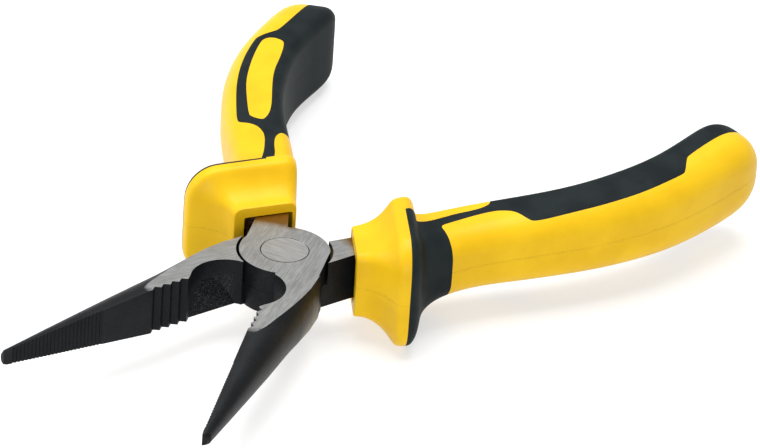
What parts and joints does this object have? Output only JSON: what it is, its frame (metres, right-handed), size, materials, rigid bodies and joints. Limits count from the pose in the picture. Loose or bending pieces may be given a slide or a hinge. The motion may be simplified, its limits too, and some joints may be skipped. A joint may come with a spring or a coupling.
{
  "type": "long nose pliers",
  "caption": "Long nose pliers with serrated tapered jaws, lap joint on a flush rivet, and two-colour moulded grips with finger guards.",
  "frame": {"origin": "where the pivot axis meets the lower ground face of the head", "axes": "+Z along the pivot axis, out of the upper ground face; -Y towards the jaw tips, +Y towards the grips; +X towards the grip of half B"},
  "size_m": [0.1063, 0.1427, 0.0228],
  "materials": {
    "forging": "black oxide, ground bright on the flat faces of the head",
    "rivet": "ground flush",
    "grip": "moulded, satin, warm yellow",
    "soft_inlay": "soft thermoplastic rubber, matt, blue-black",
    "adhesive": "cured resin, brown"
  },
  "bodies": {
    "half_a": {"jaw_half_a": "forging", "pivot_rivet": "rivet", "grip_a": "grip", "soft_inlay_a": "soft_inlay", "adhesive_a": "adhesive"},
    "half_b": {"jaw_half_b": "forging", "grip_b": "grip", "soft_inlay_b": "soft_inlay", "adhesive_b": "adhesive"}
  },
  "joints": [
    {"name": "pivot", "type": "hinge", "parent": "half_a", "child": "half_b", "pos_m": [0, 0, 0.00452], "axis": [0, 0, 1], "range_deg": [-6, 41.3]}
  ]
}
